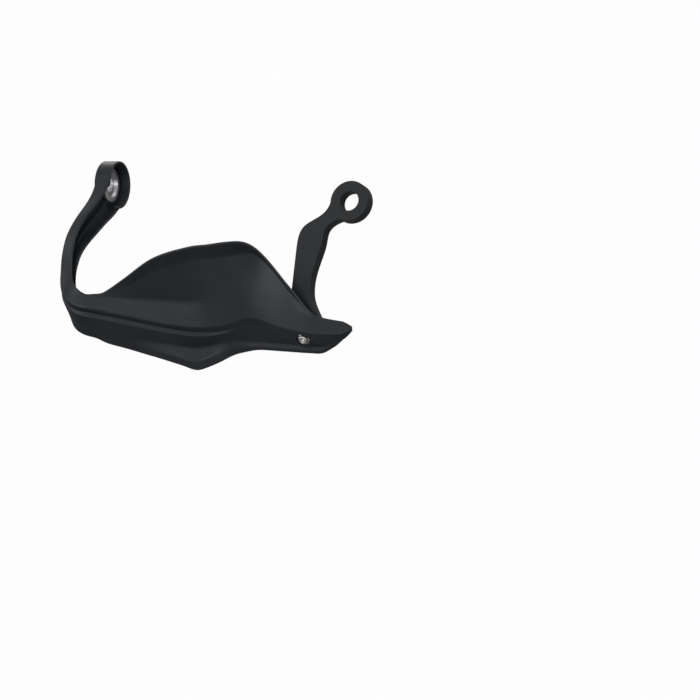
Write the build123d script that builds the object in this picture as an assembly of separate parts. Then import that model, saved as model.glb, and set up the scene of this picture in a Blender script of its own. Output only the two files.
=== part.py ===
from build123d import *
import math
import os

# Motorcycle hand guard for one end of a handlebar: a moulded shell that wraps
# from the bar end round the knuckles, its inner bracket, the turned spacer and
# ring of the bar-end eye, and the screw with its clip nut at the shell's tip.
# +X runs inboard along the handlebar, -Y is forward, +Z is up.  The origin is
# on the bar axis, on the seat inside the bar-end cup.  Millimetres.

# Shell wall and bar-end cup
wall = 2.6
cup_radius = 21.6
cup_wall = 2.4
cup_depth = 12.6
floor_thickness = 3.0
floor_hole_radius = 8.75

# Notch between the arm and the deflector: the sections swing about its axis
notch_x = 7.0
notch_forward = 100.0
notch_run = 18.0

# Rib along the floor of the arm's channel
arm_rib_thickness = 1.9
arm_rib_height = 6.0
arm_rib_from = 20.0
arm_rib_to = 72.0

# Nose of the tip
nose_length = 11.0
nose_rise = 3.6
nose_point = 0.26
nose_fullness = 1.15

# Screw seat in the tip
seat_x = 222.0
seat_forward = 134.6
seat_z = -61.0
seat_tilt = 14.0
seat_boss_radius = 8.2
seat_boss_front = 1.9
seat_boss_depth = 5.0
seat_pad_radius = 5.9
seat_pad_depth = 8.0
counterbore_radius = 6.4

# Screw
screw_radius = 2.5
screw_length = 20.0
screw_clearance = 0.3
thread_clearance = 0.05
flange_radius = 5.7
flange_height = 1.1
head_radius = 4.4
head_height = 3.4
socket_across = 3.0
socket_depth = 1.9

# Clip nut
clip_sheet = 1.0
clip_width = 14.4
clip_reach = 17.0
clip_gap = 0.15
clip_leg = 2.6
clip_slot = 1.6
nut_radius = 4.3
nut_height = 3.2

# Bracket
plate_thickness = 3.0
plate_width = 30.0
plate_up = 15.0
plate_down = 7.6
bracket_slope = 30.0
bracket_depth = 11.0
bracket_wall = 2.8
bracket_reach = 108.0
bracket_offset = 32.0
bracket_waist = 19.0
bracket_eye_radius = 18.6
bracket_bore_radius = 9.0
bracket_rib = 2.2

# Spacer and ring
spacer_flange_radius = 15.8
spacer_flange = 4.2
spacer_recess_radius = 11.9
spacer_recess = 2.0
spacer_bore_radius = 6.3
spacer_boss_radius = 8.5
ring_radius = 11.2
ring_height = 4.4
ring_clearance = 0.15
boss_proud = 0.6
seat_gap = 0.05
edge_break = 0.5


def on_front(x):
    """Run of a section that crosses the front at a distance x along the bar."""
    return notch_forward + notch_run + x - notch_x


def smooth(knots):
    """Curve through a few (run, value) knots, without overshoot between them."""
    us = [k[0] for k in knots]
    vs = [k[1] for k in knots]
    n = len(us)
    step = [us[i + 1] - us[i] for i in range(n - 1)]
    rise = [(vs[i + 1] - vs[i]) / step[i] for i in range(n - 1)]
    slope = [rise[0]] + [0.0] * (n - 2) + [rise[-1]]
    for i in range(1, n - 1):
        if rise[i - 1] * rise[i] > 0:
            a = 2 * step[i] + step[i - 1]
            b = step[i] + 2 * step[i - 1]
            slope[i] = (a + b) / (a / rise[i - 1] + b / rise[i])

    def value(u):
        u = min(max(u, us[0]), us[-1])
        i = max(j for j in range(n - 1) if us[j] <= u)
        t = (u - us[i]) / step[i]
        h00, h10 = (1 + 2 * t) * (1 - t) ** 2, t * (1 - t) ** 2
        h01, h11 = t * t * (3 - 2 * t), t * t * (t - 1)
        return h00 * vs[i] + h10 * step[i] * slope[i] + h01 * vs[i + 1] + h11 * step[i] * slope[i + 1]

    return value


def line_of(*knots):
    """Guide line: (run, distance out from the notch axis, height) knots."""
    out = smooth([(k[0], k[1]) for k in knots])
    up = smooth([(k[0], k[2]) for k in knots])
    return lambda u: (out(u), up(u))


F = on_front

# Rear edge of the ledge: the top edge of the arm, then the foot of the deflector
ledge_rear = line_of(
    (8, -1.6, 20.2), (18, -1.0, 17.2), (33, 2.6, 14.6), (48, 7.2, 13.9), (60, 11.0, 11.8),
    (74, 14.6, 7.0), (88, 16.4, -2.4), (100, 16.8, -14.0), (109, 15.8, -24.0), (118, 12.8, -32.0),
    (F(35), 12.4, -32.4), (F(61), 14.0, -32.8), (F(101), 16.4, -33.4), (F(118), 18.6, -30.8),
    (F(138), 22.8, -25.2), (F(160), 21.6, -25.2), (F(172), 20.4, -27.8), (F(184), 19.6, -30.6),
    (F(200), 19.8, -33.6), (F(222), 22.4, -38.6), (F(231), 25.6, -43.0), (F(241), 28.0, -45.4),
    (F(262), 31.0, -47.2))
# Front edge of the ledge: the outer top corner of the arm, then the ridge of the tip
ledge_front = line_of(
    (8, 9.7, 19.2), (18, 9.2, 16.2), (33, 11.2, 13.4), (48, 14.8, 12.6), (60, 18.4, 10.6),
    (74, 22.0, 5.8), (88, 24.2, -3.6), (100, 25.6, -16.0), (109, 26.0, -27.4), (118, 20.4, -37.2),
    (F(35), 24.0, -40.3), (F(61), 28.0, -43.0), (F(101), 33.4, -46.5), (F(118), 34.4, -47.6),
    (F(138), 33.4, -48.0), (F(152), 30.8, -46.2), (F(163), 28.8, -44.2), (F(174), 27.2, -42.2),
    (F(184), 29.6, -43.4), (F(203), 34.0, -47.4), (F(222), 36.8, -49.6), (F(241), 39.0, -50.4),
    (F(262), 38.6, -50.8))
# Root of the lower lip: the outer bottom corner of the arm, then the foot of the band
lip_root = line_of(
    (8, 10.0, -19.4), (18, 9.4, -17.4), (33, 10.3, -14.5), (48, 13.5, -11.4), (60, 17.5, -10.8),
    (74, 21.5, -14.0), (88, 24.2, -26.0), (100, 26.6, -41.0), (109, 27.8, -51.0), (118, 24.5, -60.5),
    (F(35), 29.0, -66.5), (F(61), 30.5, -68.5), (F(83), 33.0, -70.5), (F(112), 35.5, -73.5),
    (F(137), 33.3, -68.0), (F(148), 32.0, -66.5), (F(173), 30.5, -70.5), (F(197), 31.5, -71.0),
    (F(234), 35.0, -71.0), (F(248), 35.8, -65.0), (F(255), 36.2, -61.0), (F(262), 36.6, -56.0))
# Fold of the lower lip
lip_fold = line_of(
    (8, 3.6, -19.6), (18, 4.0, -17.6), (33, 5.6, -14.7), (48, 8.4, -11.6), (60, 12.4, -11.2),
    (74, 16.6, -14.6), (88, 21.6, -27.2), (100, 25.4, -45.0), (109, 28.2, -55.6), (118, 24.9, -65.4),
    (F(35), 30.0, -72.2), (F(61), 33.8, -75.2), (F(83), 39.5, -76.4), (F(112), 46.0, -78.3),
    (F(137), 37.5, -75.0), (F(148), 34.8, -74.0), (F(173), 33.2, -73.0), (F(197), 34.6, -73.2),
    (F(234), 37.4, -73.2), (F(248), 36.8, -67.2), (F(255), 36.6, -62.9), (F(262), 36.3, -57.5))
# Free bottom edge, where its round begins
bottom_edge = line_of(
    (8, -2.4, -19.8), (18, -1.0, -17.8), (33, 1.2, -14.9), (48, 3.6, -11.8), (60, 7.4, -11.6),
    (74, 13.4, -15.2), (88, 19.6, -28.4), (100, 24.2, -49.0), (109, 28.7, -60.6), (118, 25.3, -69.8),
    (F(18), 27.7, -73.7), (F(39), 31.2, -77.8), (F(61), 35.9, -80.8), (F(83), 41.6, -82.8),
    (F(102), 47.1, -84.8), (F(112), 49.2, -85.8), (F(126), 45.0, -84.3), (F(148), 36.2, -79.3),
    (F(173), 33.8, -75.6), (F(197), 35.3, -75.8), (F(234), 37.9, -75.7), (F(248), 37.0, -69.6),
    (F(255), 36.6, -65.0), (F(262), 36.0, -59.2))
# Step between the ledge and the band below it
step_in = smooth([(8, 0.0), (88, 0.0), (109, 1.2), (F(35), 1.5), (F(112), 1.5), (F(165), 0.0), (F(262), 0.1)])
step_drop = smooth([(8, 5.0), (88, 5.0), (109, 7.0), (F(112), 7.2), (F(165), 5.4), (F(197), 3.4), (F(262), 2.9)])
band_proud = smooth([(8, 0.1), (88, 0.1), (109, 1.7), (F(35), 2.2), (F(112), 2.0), (F(165), 0.3), (F(262), -0.3)])
band_drop = smooth([(8, 4.0), (88, 3.6), (109, 2.0), (F(112), 1.9), (F(165), 2.6), (F(262), 2.6)])
# Deflector panel and its flared rim: lengths, and angles up from level
panel_length = smooth([
    (8, 1.6), (118, 1.6), (F(20), 2.0), (F(33), 6.0), (F(55), 15.5), (F(85), 32.8), (F(102), 39.4),
    (F(119), 41.6), (F(135), 41.8), (F(160), 43.8), (F(168), 45.2), (F(179), 46.3), (F(187), 42.0), (F(194), 34.6),
    (F(206), 20.6), (F(213), 13.2), (F(220), 7.6), (F(226), 3.8), (F(233), 1.8), (F(262), 1.6)])
panel_angle = smooth([
    (8, 4.0), (74, 7.0), (100, 12.0), (118, 34.0), (F(33), 64.0), (F(55), 75.0), (F(94), 77.0), (F(110), 75.0),
    (F(126), 70.8), (F(138), 68.4), (F(160), 68.4), (F(174), 64.5), (F(182), 59.0), (F(192), 53.5), (F(222), 44.0),
    (F(234), 30.0), (F(247), 22.0), (F(262), 22.0)])
rim_length = smooth([
    (8, 1.2), (F(20), 1.0), (F(33), 2.6), (F(55), 8.6), (F(85), 13.0), (F(119), 15.0), (F(150), 15.6),
    (F(170), 14.6), (F(180), 11.0), (F(187), 8.4), (F(195), 6.6), (F(211), 4.4), (F(222), 2.4), (F(230), 1.2),
    (F(262), 1.2)])
rim_angle = smooth([
    (8, 4.0), (74, 7.0), (100, 12.0), (118, 34.0), (F(33), 72.0), (F(55), 92.0), (F(85), 99.0),
    (F(170), 99.0), (F(195), 95.0), (F(211), 84.0), (F(222), 64.0), (F(234), 32.0), (F(247), 22.0), (F(262), 22.0)])
# Edge rounding, from the lip fold up to the bend of the rim
rounding = (1.6, 6.0, 1.2, 1.0, 2.2, 1.4, 2.0)

sections = [8, 18, 28, 40, 50, 58, 66, 74, 82, 90, 97, 103, 109, 114, 119] + [
    F(x) for x in (14, 21, 30, 42, 56, 72, 88, 102, 112, 122, 134, 146, 158, 170, 179, 186, 193, 201,
                   210, 219, 227, 235, 240, 245, 250, 254, 258, 262)]


def section_plane(u):
    """Upright plane of the section at run u: local x points out, local y up."""
    if u <= notch_forward:
        at, way = Vector(notch_x, -u, 0), Vector(-1, 0, 0)
    elif u <= notch_forward + notch_run:
        swing = math.radians(90 * (u - notch_forward) / notch_run)
        at, way = Vector(notch_x, -notch_forward, 0), Vector(-math.cos(swing), -math.sin(swing), 0)
    else:
        at = Vector(notch_x + u - notch_forward - notch_run, -notch_forward, 0)
        way = Vector(0, -1, 0)
    return Plane(origin=at, x_dir=way, z_dir=way.cross(Vector(0, 0, 1)))


def outer_corners(u):
    """Corners of the outer skin, from the bottom edge up to the deflector's rim."""
    n5, z5 = ledge_front(u)
    step = (n5 - step_in(u), z5 - step_drop(u))
    band = (n5 + band_proud(u), step[1] - band_drop(u))
    n6, z6 = ledge_rear(u)
    a, b = math.radians(panel_angle(u)), math.radians(rim_angle(u))
    n7, z7 = n6 - panel_length(u) * math.cos(a), z6 + panel_length(u) * math.sin(a)
    n8, z8 = n7 - rim_length(u) * math.cos(b), z7 + rim_length(u) * math.sin(b)
    return [Vector(*p) for p in (bottom_edge(u), lip_fold(u), lip_root(u), band, step,
                                 (n5, z5), (n6, z6), (n7, z7), (n8, z8))]


def inner_corners(outer):
    """The outer corners moved in by the wall."""
    left = [Vector(-(q - p).Y, (q - p).X).normalized() for p, q in zip(outer, outer[1:])]
    inner = [outer[0] + left[0] * wall]
    for p, a, b in zip(outer[1:], left, left[1:]):
        inner.append(p + (a + b) * (wall / (1 + a.dot(b))))
    return inner + [outer[-1] + left[-1] * wall]


def skin_edges(corners):
    """Edges along the corners, each corner eased by its rounding."""
    edges, start = [], corners[0]
    for p, q, r, ease in zip(corners, corners[1:], corners[2:], rounding):
        short = min((q - p).length, (r - q).length)
        turn = math.radians((q - p).get_angle(r - q))
        cut = min(max(ease * math.tan(turn / 2), 0.12 * short), 0.42 * short)
        before = q - (q - p).normalized() * cut
        after = q + (r - q).normalized() * cut
        edges += [Edge.make_line(start, before), Edge.make_bezier(before, q, after)]
        start = after
    return edges + [Edge.make_line(start, corners[-1])]


def round_edge(start, end, way):
    """Full-round free edge of the wall, from one skin to the other."""
    out = way.normalized() * (wall / 2)
    crown = (start + end) * 0.5 + out
    return [Edge.make_bezier(start, start + out, crown), Edge.make_bezier(crown, end + out, end)]


def wall_section(u, hair=0.0):
    """Wall profile at run u, with full-round edges; a hair keeps its ends apart."""
    outer = outer_corners(u)
    inner = inner_corners(outer)
    edges = skin_edges(outer)
    edges += round_edge(outer[-1], inner[-1], outer[-1] - outer[-2])
    edges += [Edge.make_line(inner[i], inner[i - 1]) for i in range(len(inner) - 1, 0, -1)]
    end = outer[0] + (inner[0] - outer[0]).normalized() * hair
    edges += round_edge(inner[0], end, outer[0] - outer[1])
    return section_plane(u).from_local_coords(Wire(edges))


def make_run():
    """The wall lofted from the bar end round the notch and along the front."""
    skin = Shell.make_loft([wall_section(u, hair=5e-7) for u in sections])
    ends = [Face(wall_section(u)) for u in (sections[0], sections[-1])]
    return Solid(Shell(Face.sew_faces(list(skin.faces()) + ends)[0]))


def make_nose():
    """Solid end of the tip: the outer skin of the last section drawn in to a point."""
    outer = outer_corners(sections[-1])
    inner = inner_corners(outer)
    for corners in (outer, inner):
        corners[0] += (outer[0] - outer[1]).normalized() * (wall / 2)
        corners[-1] += (outer[-1] - outer[-2]).normalized() * (wall / 2)
    loop = outer + [inner[-1], inner[0]]
    middle = sum(loop, Vector()) * (1 / len(loop))
    wires = []
    for along in (0.0, 0.4, 0.75, 1.0):
        size = 1 - (1 - nose_point) * along ** nose_fullness
        drawn = [middle + (p - middle) * size + Vector(0, nose_rise * along ** nose_fullness) for p in loop]
        back = [drawn[-3], drawn[-2], drawn[-1], drawn[0]]
        edges = skin_edges(drawn[:-2]) + [Edge.make_line(p, q) for p, q in zip(back, back[1:])]
        wires.append(section_plane(sections[-1] + along * nose_length).from_local_coords(Wire(edges)))
    return Solid.make_loft(wires)


def bar_plane(x):
    """Plane square to the bar at x, its normal pointing inboard."""
    return Plane(origin=(x, 0, 0), x_dir=(0, -1, 0), z_dir=(1, 0, 0))


def make_cup():
    """Bar-end cup: a floor and a round wall with a full-round rim."""
    inside, half = cup_radius - cup_wall, cup_wall / 2
    rim = cup_depth - half
    profile = Face(Wire([
        Edge.make_line((-floor_thickness, 0), (-floor_thickness, cup_radius - edge_break)),
        Edge.make_line((-floor_thickness, cup_radius - edge_break), (-floor_thickness + edge_break, cup_radius)),
        Edge.make_line((-floor_thickness + edge_break, cup_radius), (rim, cup_radius)),
        Edge.make_three_point_arc((rim, cup_radius), (cup_depth, inside + half), (rim, inside)),
        Edge.make_line((rim, inside), (0, inside)),
        Edge.make_line((0, inside), (0, 0)),
        Edge.make_line((0, 0), (-floor_thickness, 0))]))
    return revolve(profile, Axis.X)


def channel_block(u, clear, reach):
    """Rectangle inside the arm's channel at run u, open past its rim."""
    inner = inner_corners(outer_corners(u))
    low, high = inner[2].Y + clear, inner[5].Y - clear
    floor = notch_x
    return section_plane(u).from_local_coords(Wire.make_polygon(
        [(floor, low), (floor, high), (floor - reach, high), (floor - reach, low)], close=True))


def make_arm_rib():
    """Rib along the floor of the channel."""
    wires = []
    for i in range(5):
        u = arm_rib_from + (arm_rib_to - arm_rib_from) * i / 4
        outer = outer_corners(u)
        foot = outer[5].X - wall / 2
        crest = outer[5].X - wall - arm_rib_height
        middle = (outer[5].Y + outer[2].Y) / 2
        low, high = middle - arm_rib_thickness / 2, middle + arm_rib_thickness / 2
        wires.append(section_plane(u).from_local_coords(Wire.make_polygon(
            [(foot, low), (foot, high), (crest, high), (crest, low)], close=True)))
    return Solid.make_loft(wires)


tilt = math.radians(seat_tilt)
seat = Plane(origin=(seat_x, -seat_forward, seat_z), x_dir=(1, 0, 0), z_dir=(0, -math.cos(tilt), math.sin(tilt)))


def peg(radius, low, high):
    """Cylinder on the screw axis between two heights above the seat."""
    return Solid.make_cylinder(radius, high - low, seat.offset(low))


def make_guard_shell():
    inside = Solid.make_cylinder(cup_radius - cup_wall, 3 * cup_depth, bar_plane(0))
    root = Solid.make_loft([channel_block(u, 0.3, 3 * cup_depth) for u in (6.0, 18.0, 30.0)], ruled=True)
    arm_and_front = make_run() - inside
    shell = arm_and_front + (make_cup() - root) + make_arm_rib() + make_nose()
    shell -= Solid.make_cylinder(floor_hole_radius, 4 * floor_thickness, bar_plane(-2 * floor_thickness))
    shell = shell + peg(seat_boss_radius, -seat_boss_depth, seat_boss_front) + peg(
        seat_pad_radius, -seat_pad_depth, 0)
    shell -= peg(counterbore_radius, 0, 4 * flange_radius)
    shell -= peg(screw_radius + screw_clearance, -3 * seat_pad_depth, 1)
    return shell


def make_screw():
    """Flange-head screw with a hexagon socket."""
    profile = Face(Wire.make_polygon([
        (0, -screw_length), (screw_radius - edge_break, -screw_length), (screw_radius, edge_break - screw_length),
        (screw_radius, seat_gap), (flange_radius, seat_gap), (flange_radius, 0.6 * flange_height),
        (head_radius, flange_height), (head_radius - 0.3, 0.7 * head_height),
        (head_radius - 1.1, head_height), (0, head_height)], close=True))
    body = seat.from_local_coords(revolve(Plane.XZ * profile, Axis.Z))
    socket = extrude(RegularPolygon(socket_across / 2, 6, major_radius=False), socket_depth + 1)
    return body - seat.offset(head_height - socket_depth).from_local_coords(socket)


leaf_top = -seat_pad_depth - clip_gap
plate_top = leaf_top - clip_sheet - clip_gap
plate_low = plate_top - plate_thickness
clip_middle = (plate_top + plate_low) / 2
side = Plane(origin=seat.origin, x_dir=seat.y_dir, z_dir=seat.x_dir)


def make_clip_nut():
    """Spring-steel clip folded round the bracket's plate, with a drawn thread boss."""
    gap = plate_thickness / 2 + clip_gap
    thick = gap + clip_sheet
    fold, far, near = -plate_down - clip_gap, clip_reach - plate_down, clip_reach - plate_down - 2.5
    profile = Face(Wire([
        Edge.make_line((near, clip_middle + thick), (fold, clip_middle + thick)),
        Edge.make_three_point_arc((fold, clip_middle + thick), (fold - thick, clip_middle), (fold, clip_middle - thick)),
        Edge.make_line((fold, clip_middle - thick), (far, clip_middle - thick)),
        Edge.make_line((far, clip_middle - thick), (far, clip_middle - gap)),
        Edge.make_line((far, clip_middle - gap), (fold, clip_middle - gap)),
        Edge.make_three_point_arc((fold, clip_middle - gap), (fold - gap, clip_middle), (fold, clip_middle + gap)),
        Edge.make_line((fold, clip_middle + gap), (near, clip_middle + gap)),
        Edge.make_line((near, clip_middle + gap), (near, clip_middle + thick))]))
    clip = extrude(side.offset(-clip_width / 2).from_local_coords(profile), clip_width, dir=seat.x_dir)
    clip += peg(nut_radius, clip_middle - thick - nut_height, clip_middle - gap)
    for way in (-1, 1):
        leg = Box(clip_sheet, 7.0, clip_leg + clip_sheet)
        slot = Box(3 * clip_sheet, clip_slot, clip_leg - 1.0)
        spot = (way * (clip_width - clip_sheet) / 2, 0, clip_middle + gap + (clip_leg + clip_sheet) / 2)
        clip += seat.from_local_coords(Pos(*spot) * leg)
        clip -= seat.from_local_coords(Pos(spot[0], 0, leaf_top + clip_leg / 2) * slot)
    return clip - peg(screw_radius + thread_clearance, -2 * screw_length, 1)


slope = math.radians(bracket_slope)
plate_end = seat.from_local_coords(Vector(0, plate_up, clip_middle))
strap = Plane(origin=plate_end, x_dir=(1, 0, 0), z_dir=(0, -math.sin(slope), math.cos(slope)))


def strap_outline(inset):
    """Outline of the bracket's strap and eye, moved in by an inset."""
    half, eye = plate_width / 2, bracket_eye_radius - inset
    hub = Vector(bracket_offset, bracket_reach)
    left, right = -half + inset, half - inset
    waist = bracket_waist - half - inset
    near = Vector(hub.X - eye, hub.Y - 2)
    over = hub + Vector(math.cos(math.radians(115)), math.sin(math.radians(-65))) * eye
    outside = Spline((left, 0.60 * bracket_reach), (left + 4.0, 0.77 * bracket_reach), near,
                     tangents=((0, 1), (0.25, 1)))
    inside = Spline((right, 0), (waist + 1.5, 0.16 * bracket_reach), (waist, 0.40 * bracket_reach),
                    (waist + 6.0, 0.66 * bracket_reach), over, tangents=((-0.5, 1), (1, 0.35)))
    body = make_face(Wire([
        Edge.make_line((left, -plate_up), (left, 0.60 * bracket_reach)), *outside.edges(),
        Edge.make_line(near, hub), Edge.make_line(hub, over), *inside.edges(),
        Edge.make_line((right, 0), (right, -plate_up)), Edge.make_line((right, -plate_up), (left, -plate_up))]))
    return body + Pos(hub.X, hub.Y) * Circle(eye)


def make_bracket():
    """Moulded strap, hollow underneath, from the plate at the tip to the eye at the bar."""
    hub = (bracket_offset, bracket_reach)
    top = bracket_wall
    strap_body = extrude(strap_outline(0), bracket_depth)
    hollow = extrude(strap_outline(bracket_wall), bracket_depth - bracket_wall)
    hollow -= Pos(*hub) * Cylinder(bracket_bore_radius + bracket_wall, 4 * bracket_depth)
    for share in (0.34, 0.54, 0.74):
        hollow -= Pos(0, share * bracket_reach) * Box(4 * plate_width, bracket_rib, 4 * bracket_depth)
    strap_body -= hollow
    strap_body -= Pos(*hub) * Cylinder(bracket_bore_radius, 4 * bracket_depth)
    body = strap.offset(top - bracket_depth).from_local_coords(strap_body)
    room = 6 * plate_width
    ahead = seat.offset(plate_top).from_local_coords(Pos(0, 0, room / 2) * Box(room, room, room))
    plate = seat.offset(plate_low).from_local_coords(
        Pos(0, (plate_up - plate_down) / 2, plate_thickness / 2) * Box(
            plate_width, plate_up + plate_down, plate_thickness))
    bracket = (body - ahead) + plate
    return bracket - peg(screw_radius + screw_clearance, -2 * screw_length, 1)


def make_spacer():
    """Turned spacer: a recessed flange inside the cup and a boss out through its floor."""
    end = -floor_thickness - ring_height - boss_proud
    face = seat_gap + spacer_flange
    profile = Face(Wire.make_polygon([
        (end, spacer_bore_radius), (end, spacer_boss_radius - edge_break), (end + edge_break, spacer_boss_radius),
        (seat_gap, spacer_boss_radius), (seat_gap, spacer_flange_radius - edge_break),
        (seat_gap + edge_break, spacer_flange_radius), (face - edge_break, spacer_flange_radius),
        (face, spacer_flange_radius - edge_break), (face, spacer_recess_radius),
        (face - spacer_recess, spacer_recess_radius), (face - spacer_recess, spacer_bore_radius)], close=True))
    return revolve(profile, Axis.X)


def make_ring():
    """Plain turned ring on the spacer's boss, outside the cup."""
    inner, near = spacer_boss_radius + ring_clearance, -floor_thickness - seat_gap
    far = near - ring_height
    profile = Face(Wire.make_polygon([
        (near, inner), (near, ring_radius - edge_break), (near - edge_break, ring_radius),
        (far + edge_break, ring_radius), (far, ring_radius - edge_break), (far, inner)], close=True))
    return revolve(profile, Axis.X)


os.makedirs("parts", exist_ok=True)
for name, make in (("guard_shell", make_guard_shell), ("inner_bracket", make_bracket),
                   ("bar_end_spacer", make_spacer), ("centring_ring", make_ring),
                   ("clip_nut", make_clip_nut), ("mounting_screw", make_screw)):
    export_step(make(), "parts/" + name + ".step")
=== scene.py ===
import math

import bmesh
import bpy
from mathutils import Matrix, Vector


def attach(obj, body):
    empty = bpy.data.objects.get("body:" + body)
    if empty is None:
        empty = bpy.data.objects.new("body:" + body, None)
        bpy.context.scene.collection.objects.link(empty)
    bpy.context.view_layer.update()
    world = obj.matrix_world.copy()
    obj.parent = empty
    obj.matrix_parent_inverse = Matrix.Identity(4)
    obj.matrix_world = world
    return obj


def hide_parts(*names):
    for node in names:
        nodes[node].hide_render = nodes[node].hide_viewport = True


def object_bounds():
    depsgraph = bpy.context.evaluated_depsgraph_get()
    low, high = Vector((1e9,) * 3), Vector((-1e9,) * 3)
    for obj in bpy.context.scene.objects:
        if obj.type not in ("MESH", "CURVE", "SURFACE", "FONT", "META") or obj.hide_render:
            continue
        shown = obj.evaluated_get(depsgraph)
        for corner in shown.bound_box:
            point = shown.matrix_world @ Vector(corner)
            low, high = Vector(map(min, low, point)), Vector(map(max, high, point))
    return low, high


# A moulded motorcycle hand guard with its bracket, spacer, ring, clip nut and screw, dressed in
# grained black plastic, turned aluminium and zinc plate, in a plain white studio.
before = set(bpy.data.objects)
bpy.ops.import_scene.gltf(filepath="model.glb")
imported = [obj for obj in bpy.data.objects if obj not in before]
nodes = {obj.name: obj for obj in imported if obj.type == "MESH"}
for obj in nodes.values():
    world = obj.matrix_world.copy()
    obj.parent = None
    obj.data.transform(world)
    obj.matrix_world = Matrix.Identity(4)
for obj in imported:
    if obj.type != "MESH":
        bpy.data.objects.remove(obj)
cad_low, cad_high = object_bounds()
guard_middle = (Vector(cad_low) + Vector(cad_high)) / 2

# How the picture lies in the part's frame, metres and pixels
picture_size = 700
metres_per_pixel = 0.0009
bar_end_pixel = (107.0, 184.5)
picture_right = Vector((0.899, 0.310, -0.310)).normalized()
picture_up = Vector((0.0, 0.7071, 0.7071)).normalized()
to_camera = picture_right.cross(picture_up)
camera_distance = 10.0
sensor_width = 36.0

# Studio: the camera sees white all round, a reflection sees a share of it
floor_drop = 0.16
floor_size = 14.0
floor_grey = (0.2, 0.2, 0.2, 1.0)
floor_roughness = 0.9
floor_in_reflections = 0.05
walls_in_reflections = 0.6
walls_light = 0.24
shadow_share = 0.02

# Soft lamps: name, place from the guard's middle and side in metres, watts
soft_lamps = (
    ("front_softbox", (0.16, -1.04, 0.77), 0.5, 5.6),
    ("left_softbox", (-1.05, -0.20, 0.75), 0.6, 3.1),
    ("back_softbox", (0.95, 0.85, 0.60), 0.6, 5.2),
    ("rear_softbox", (-0.60, 1.10, -0.08), 0.7, 5.0),
)

# Finishes: a dark and a light tone, a range of roughness, details per metre, depths in metres
guard_black = ((0.0145, 0.0172, 0.0212), (0.0185, 0.0220, 0.0270))
guard_roughness = (0.40, 0.50)
guard_pebbles = 1500.0
bracket_black = ((0.0155, 0.0170, 0.0192), (0.0198, 0.0218, 0.0245))
bracket_roughness = (0.44, 0.56)
bracket_pebbles = 1900.0
flow_marks = 24.0
pebble_depth, pebble_strength = 0.00006, 0.35
plastic_gloss = 0.30
aluminium_tones = ((0.60, 0.60, 0.61), (0.78, 0.78, 0.79))
aluminium_roughness = (0.24, 0.40)
tool_marks = 2600.0
tool_tones = 420.0
tool_mark_depth, tool_mark_strength = 0.00005, 0.4
zinc_tones = ((0.52, 0.51, 0.49), (0.74, 0.73, 0.70))
zinc_roughness = (0.22, 0.38)
zinc_patches = 700.0
zinc_peel = 3200.0
peel_depth, peel_strength = 0.00003, 0.25
tone_from, tone_to = 0.3, 0.7

# Edges of the bracket, metres
bracket_edge_radius = 0.00035
skin_gap = 0.000002
sharp_edge = math.radians(35.0)

# Flange-head screw in the tip, metres, heights along its axis from the seat under the flange
screw_seat = Vector((0.222, -0.1346, -0.061))
screw_tilt = math.radians(14.0)
screw_sides = 36
screw_end = -0.0200
screw_end_radius = 0.0018
chamfer_radius = 0.00205
screw_crease = math.radians(32.0)
thread_pitch = 0.0008
thread_radius = 0.0025
thread_depth = 0.00045
thread_flank = 2.6
thread_crest = 0.25
thread_rows_per_pitch = 6
thread_from, thread_to = -0.0010, -0.0196
socket_across = 0.0030
socket_levels = (0.00150, 0.00325)
socket_cone = 0.0005
head_turning = [
    (0.0019, 0.00340), (0.0033, 0.00340), (0.00372, 0.00312), (0.0040, 0.00272), (0.0041, 0.00238),
    (0.00432, 0.00130), (0.00450, 0.00108), (0.0050, 0.00094), (0.00558, 0.00076), (0.0057, 0.00062),
    (0.0057, 0.00018), (0.00560, 0.00006), (0.0029, 0.00006), (0.0026, -0.00010), (0.0025, -0.00040)]


def new_group(name, inputs, outputs):
    """An empty shader group with named value inputs and value outputs."""
    group = bpy.data.node_groups.new(name, "ShaderNodeTree")
    for label, value in inputs:
        socket = group.interface.new_socket(label, in_out="INPUT", socket_type="NodeSocketFloat")
        socket.default_value = value
    for label in outputs:
        group.interface.new_socket(label, in_out="OUTPUT", socket_type="NodeSocketFloat")
    return group, group.nodes.new("NodeGroupInput"), group.nodes.new("NodeGroupOutput")


def math_node(tree, operation, first, second):
    """A math node on two values, each a socket or a number."""
    node = tree.nodes.new("ShaderNodeMath")
    node.operation = operation
    for socket, value in zip(node.inputs, (first, second)):
        if isinstance(value, (int, float)):
            socket.default_value = value
        else:
            tree.links.new(value, socket)
    return node.outputs[0]


def spread(tree, value, low, high):
    """A value from 0 to 1 spread over a range."""
    node = tree.nodes.new("ShaderNodeMapRange")
    node.inputs["To Min"].default_value = low
    node.inputs["To Max"].default_value = high
    tree.links.new(value, node.inputs["Value"])
    return node.outputs["Result"]


def noise(tree, where, scale, detail, roughness=0.5):
    """Fractal noise at a place, its scale a socket or a number per metre."""
    node = tree.nodes.new("ShaderNodeTexNoise")
    node.inputs["Detail"].default_value = detail
    node.inputs["Roughness"].default_value = roughness
    tree.links.new(where, node.inputs["Vector"])
    if isinstance(scale, (int, float)):
        node.inputs["Scale"].default_value = scale
    else:
        tree.links.new(scale, node.inputs["Scale"])
    return node.outputs["Fac"]


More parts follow.
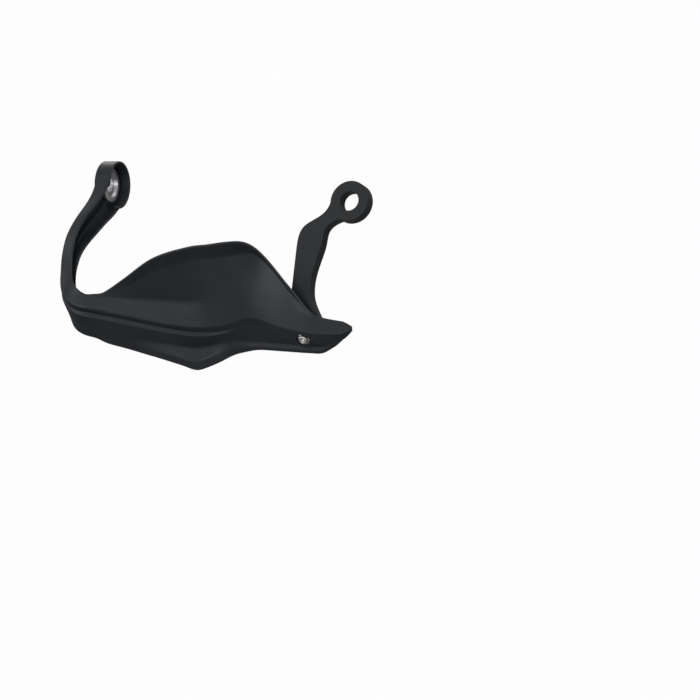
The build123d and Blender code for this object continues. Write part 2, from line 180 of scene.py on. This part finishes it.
def moulded_grain_group():
    """Spark-eroded mould grain: a fine pebbled height, and slow flow marks as a mask."""
    group, given, result = new_group(
        "moulded grain", (("Pebbles per Metre", guard_pebbles), ("Flow per Metre", flow_marks)),
        ("Height", "Flow"))
    place = group.nodes.new("ShaderNodeTexCoord").outputs["Object"]
    pebbles = group.nodes.new("ShaderNodeTexVoronoi")
    pebbles.feature = "SMOOTH_F1"
    pebbles.inputs["Smoothness"].default_value = 0.7
    group.links.new(place, pebbles.inputs["Vector"])
    group.links.new(given.outputs["Pebbles per Metre"], pebbles.inputs["Scale"])
    fine = noise(group, place, given.outputs["Pebbles per Metre"], 3.0, 0.6)
    height = math_node(group, "SUBTRACT", fine, pebbles.outputs["Distance"])
    group.links.new(height, result.inputs["Height"])
    flow = noise(group, place, given.outputs["Flow per Metre"], 4.0, 0.55)
    group.links.new(flow, result.inputs["Flow"])
    return group


def turning_marks_group():
    """Fine concentric tool marks about the bar axis, with a slow change of brightness across them."""
    group, given, result = new_group("turning marks", (("Marks per Metre", tool_marks),), ("Height", "Tone"))
    place = group.nodes.new("ShaderNodeTexCoord").outputs["Object"]
    parts = group.nodes.new("ShaderNodeSeparateXYZ")
    group.links.new(place, parts.inputs[0])
    across = math_node(group, "MULTIPLY", parts.outputs["Y"], parts.outputs["Y"])
    upward = math_node(group, "MULTIPLY", parts.outputs["Z"], parts.outputs["Z"])
    radius = math_node(group, "SQRT", math_node(group, "ADD", across, upward), 0.0)
    track = group.nodes.new("ShaderNodeCombineXYZ")
    group.links.new(radius, track.inputs["X"])
    group.links.new(parts.outputs["X"], track.inputs["Y"])
    marks = noise(group, track.outputs[0], given.outputs["Marks per Metre"], 2.0)
    group.links.new(marks, result.inputs["Height"])
    tone = noise(group, track.outputs[0], tool_tones, 3.0)
    group.links.new(tone, result.inputs["Tone"])
    return group


def zinc_plating_group():
    """Zinc plate: small spangled patches of tone and a faint orange-peel height."""
    group, given, result = new_group("zinc plating", (("Patches per Metre", zinc_patches),), ("Height", "Tone"))
    place = group.nodes.new("ShaderNodeTexCoord").outputs["Object"]
    patches = noise(group, place, given.outputs["Patches per Metre"], 4.0, 0.6)
    group.links.new(patches, result.inputs["Tone"])
    peel = noise(group, place, zinc_peel, 2.0)
    group.links.new(peel, result.inputs["Height"])
    return group


def start_material(name, group, values):
    """A new material with one effect group in it and its Principled shader."""
    material = bpy.data.materials.new(name)
    material.use_nodes = True
    tree = material.node_tree
    effect = tree.nodes.new("ShaderNodeGroup")
    effect.node_tree = group
    for label, value in values:
        effect.inputs[label].default_value = value
    return material, tree, effect, tree.nodes["Principled BSDF"]


def colour_between(tree, mask, dark, light):
    """A colour between two, by a mask."""
    ramp = tree.nodes.new("ShaderNodeValToRGB")
    for stop, position, colour in zip(ramp.color_ramp.elements, (tone_from, tone_to), (dark, light)):
        stop.position = position
        stop.color = (*colour, 1.0)
    tree.links.new(mask, ramp.inputs["Fac"])
    return ramp.outputs["Color"]


def bump_from(tree, height, distance, strength):
    """A normal from a height."""
    bump = tree.nodes.new("ShaderNodeBump")
    bump.inputs["Distance"].default_value = distance
    bump.inputs["Strength"].default_value = strength
    tree.links.new(height, bump.inputs["Height"])
    return bump.outputs["Normal"]


def black_moulding(name, pebbles, tones, roughness):
    """Black moulded plastic with a fine eroded grain and a soft sheen."""
    material, tree, grain, surface = start_material(
        name, moulded_grain, (("Pebbles per Metre", pebbles), ("Flow per Metre", flow_marks)))
    surface.inputs["Specular IOR Level"].default_value = plastic_gloss
    flow, height = grain.outputs["Flow"], grain.outputs["Height"]
    tree.links.new(colour_between(tree, flow, *tones), surface.inputs["Base Color"])
    tree.links.new(spread(tree, flow, *roughness), surface.inputs["Roughness"])
    tree.links.new(bump_from(tree, height, pebble_depth, pebble_strength), surface.inputs["Normal"])
    return material


def bright_metal(name, group, details, tones, roughness, depth, strength):
    """Bare or plated metal whose tone, roughness and fine height come from its own effect group."""
    material, tree, finish, surface = start_material(name, group, details)
    surface.inputs["Metallic"].default_value = 1.0
    tone, height = finish.outputs["Tone"], finish.outputs["Height"]
    tree.links.new(colour_between(tree, tone, *tones), surface.inputs["Base Color"])
    tree.links.new(spread(tree, tone, *roughness), surface.inputs["Roughness"])
    tree.links.new(bump_from(tree, height, depth, strength), surface.inputs["Normal"])
    return material


def dress(material, *names):
    """Gives a material to CAD nodes."""
    for name in names:
        slots = nodes[name].data.materials
        slots.clear()
        slots.append(material)


def soften_edges(name, radius):
    """Rounds a moulding's sharp edges a little, as its mould does."""
    weld = nodes[name].modifiers.new("closed skin", "WELD")
    weld.merge_threshold = skin_gap
    soft = nodes[name].modifiers.new("soft edges", "BEVEL")
    soft.width = radius
    soft.segments = 2
    soft.limit_method = "ANGLE"
    soft.angle_limit = sharp_edge
    soft.use_clamp_overlap = False
    even = nodes[name].modifiers.new("even faces", "WEIGHTED_NORMAL")
    even.weight = 100


def ring_of(mesh, radius_at, height):
    """One ring of points round the screw's axis."""
    points = []
    for i in range(screw_sides):
        turn = 2 * math.pi * i / screw_sides
        radius = radius_at(turn)
        points.append(mesh.verts.new((radius * math.cos(turn), radius * math.sin(turn), height)))
    return points


def hexagon_radius(turn):
    """Reach of the hexagon socket in one direction."""
    return socket_across / 2 / math.cos((turn + math.pi / 6) % (math.pi / 3) - math.pi / 6)


def thread_reach(turn, height):
    """Radius of the thread: flat crests and roots on a helix, run out at both ends."""
    phase = (height / thread_pitch - turn / (2 * math.pi)) % 1.0
    ridge = min(1.0, max(0.0, thread_flank * abs(phase - 0.5) - thread_crest))
    fade = min(1.0, (thread_from - height) / thread_pitch)
    chamfer = chamfer_radius + max(0.0, height - screw_end)
    return min(thread_radius - thread_depth * ridge * fade, chamfer)


def screw_rings(mesh):
    """The screw's rings of points, from the floor of its socket over the head to its end."""
    rings = [ring_of(mesh, hexagon_radius, level) for level in socket_levels]
    rings += [ring_of(mesh, lambda turn, r=radius: r, height) for radius, height in head_turning]
    rows = round((thread_from - thread_to) / thread_pitch * thread_rows_per_pitch)
    for row in range(rows + 1):
        height = thread_from + (thread_to - thread_from) * row / rows
        rings.append(ring_of(mesh, lambda turn, z=height: thread_reach(turn, z), height))
    rings.append(ring_of(mesh, lambda turn: screw_end_radius, screw_end))
    return rings


def flange_screw(material):
    """Flange-head socket screw with its rolled thread, on the CAD screw's own axis."""
    mesh = bmesh.new()
    rings = screw_rings(mesh)
    for upper, lower in zip(rings, rings[1:]):
        for i in range(screw_sides):
            j = (i + 1) % screw_sides
            mesh.faces.new((upper[i], lower[i], lower[j], upper[j]))
    socket_floor = mesh.verts.new((0.0, 0.0, socket_levels[0] - socket_cone))
    point = mesh.verts.new((0.0, 0.0, screw_end))
    for i in range(screw_sides):
        j = (i + 1) % screw_sides
        mesh.faces.new((rings[0][j], socket_floor, rings[0][i]))
        mesh.faces.new((rings[-1][i], point, rings[-1][j]))
    axis = Vector((0.0, -math.cos(screw_tilt), math.sin(screw_tilt)))
    across = Vector((1.0, 0.0, 0.0))
    turn = Matrix((across, axis.cross(across), axis)).transposed().to_4x4()
    bmesh.ops.transform(mesh, matrix=Matrix.Translation(screw_seat) @ turn, verts=mesh.verts)
    bmesh.ops.recalc_face_normals(mesh, faces=mesh.faces)
    data = bpy.data.meshes.new("flange_screw")
    mesh.to_mesh(data)
    mesh.free()
    data.polygons.foreach_set("use_smooth", [True] * len(data.polygons))
    data.set_sharp_from_angle(angle=screw_crease)
    data.materials.append(material)
    screw = bpy.data.objects.new("flange_screw", data)
    bpy.context.collection.objects.link(screw)
    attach(screw, "root")
    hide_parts("mounting_screw")


def seen_white(tree, reflected):
    """Mask that is 1 for rays from the camera, and a share of 1 for those that reflections send out."""
    path = tree.nodes.new("ShaderNodeLightPath")
    mirrored = math_node(tree, "MAXIMUM", path.outputs["Is Glossy Ray"], path.outputs["Is Transmission Ray"])
    shared = math_node(tree, "MULTIPLY", mirrored, reflected)
    return math_node(tree, "MAXIMUM", path.outputs["Is Camera Ray"], shared)


def studio_floor():
    """Wide white floor that shows a little of the guard's shadow."""
    half, height = floor_size / 2, cad_low[2] - floor_drop
    corners = [(-half, -half, height), (half, -half, height), (half, half, height), (-half, half, height)]
    mesh = bpy.data.meshes.new("studio_floor")
    mesh.from_pydata(corners, [], [(0, 1, 2, 3)])
    floor = bpy.data.objects.new("studio_floor", mesh)
    bpy.context.collection.objects.link(floor)
    material = bpy.data.materials.new("studio white")
    material.use_nodes = True
    tree = material.node_tree
    surface = tree.nodes["Principled BSDF"]
    surface.inputs["Base Color"].default_value = floor_grey
    surface.inputs["Roughness"].default_value = floor_roughness
    glow = tree.nodes.new("ShaderNodeEmission")
    mix = tree.nodes.new("ShaderNodeMixShader")
    share = math_node(tree, "MULTIPLY", seen_white(tree, floor_in_reflections), 1.0 - shadow_share)
    tree.links.new(share, mix.inputs["Fac"])
    tree.links.new(surface.outputs[0], mix.inputs[1])
    tree.links.new(glow.outputs[0], mix.inputs[2])
    tree.links.new(mix.outputs[0], tree.nodes["Material Output"].inputs["Surface"])
    mesh.materials.append(material)


def studio_world():
    """White surroundings to look at, and a dim even light from them."""
    world = bpy.data.worlds.new("studio")
    bpy.context.scene.world = world
    world.use_nodes = True
    tree = world.node_tree
    around = tree.nodes["Background"]
    around.inputs["Color"].default_value = (1.0, 1.0, 1.0, 1.0)
    around.inputs["Strength"].default_value = walls_light
    white = tree.nodes.new("ShaderNodeBackground")
    white.inputs["Color"].default_value = (1.0, 1.0, 1.0, 1.0)
    mix = tree.nodes.new("ShaderNodeMixShader")
    tree.links.new(seen_white(tree, walls_in_reflections), mix.inputs["Fac"])
    tree.links.new(around.outputs[0], mix.inputs[1])
    tree.links.new(white.outputs[0], mix.inputs[2])
    tree.links.new(mix.outputs[0], tree.nodes["World Output"].inputs["Surface"])


def softbox(name, place, size, power):
    """Square soft lamp that faces the guard."""
    data = bpy.data.lights.new(name, "AREA")
    data.shape = "SQUARE"
    data.size = size
    data.energy = power
    lamp = bpy.data.objects.new(name, data)
    bpy.context.collection.objects.link(lamp)
    lamp.location = guard_middle + Vector(place)
    lamp.rotation_mode = "QUATERNION"
    lamp.rotation_quaternion = Vector(place).to_track_quat("Z", "Y")


def studio_camera():
    """Long-lens camera that sees the guard where the photograph has it."""
    lens = sensor_width * camera_distance / (picture_size * metres_per_pixel)
    left = bar_end_pixel[0] + guard_middle.dot(picture_right) / metres_per_pixel
    down = bar_end_pixel[1] - guard_middle.dot(picture_up) / metres_per_pixel
    to_centre = picture_right * (picture_size / 2 - left) - picture_up * (picture_size / 2 - down)
    aim = guard_middle + to_centre * metres_per_pixel
    place = guard_middle + to_camera * camera_distance
    back = (place - aim).normalized()
    across = (picture_right - back * picture_right.dot(back)).normalized()
    upward = back.cross(across)
    data = bpy.data.cameras.new("studio_camera")
    data.lens = lens
    data.sensor_width = sensor_width
    data.clip_end = 10 * camera_distance
    camera = bpy.data.objects.new("studio_camera", data)
    bpy.context.collection.objects.link(camera)
    turn = Matrix((across, upward, back)).transposed().to_4x4()
    camera.matrix_world = Matrix.Translation(place) @ turn
    bpy.context.scene.camera = camera


moulded_grain = moulded_grain_group()
turning_marks = turning_marks_group()
zinc_plating = zinc_plating_group()
aluminium = bright_metal(
    "turned aluminium", turning_marks, (("Marks per Metre", tool_marks),),
    aluminium_tones, aluminium_roughness, tool_mark_depth, tool_mark_strength)
zinc = bright_metal(
    "zinc plate", zinc_plating, (("Patches per Metre", zinc_patches),),
    zinc_tones, zinc_roughness, peel_depth, peel_strength)
dress(black_moulding("guard moulding", guard_pebbles, guard_black, guard_roughness), "guard_shell")
dress(black_moulding("bracket moulding", bracket_pebbles, bracket_black, bracket_roughness), "inner_bracket")
soften_edges("inner_bracket", bracket_edge_radius)
dress(aluminium, "bar_end_spacer", "centring_ring")
dress(zinc, "clip_nut")
flange_screw(zinc)

studio_floor()
studio_world()
for lamp in soft_lamps:
    softbox(*lamp)
studio_camera()
bpy.context.scene.view_settings.view_transform = "Standard"
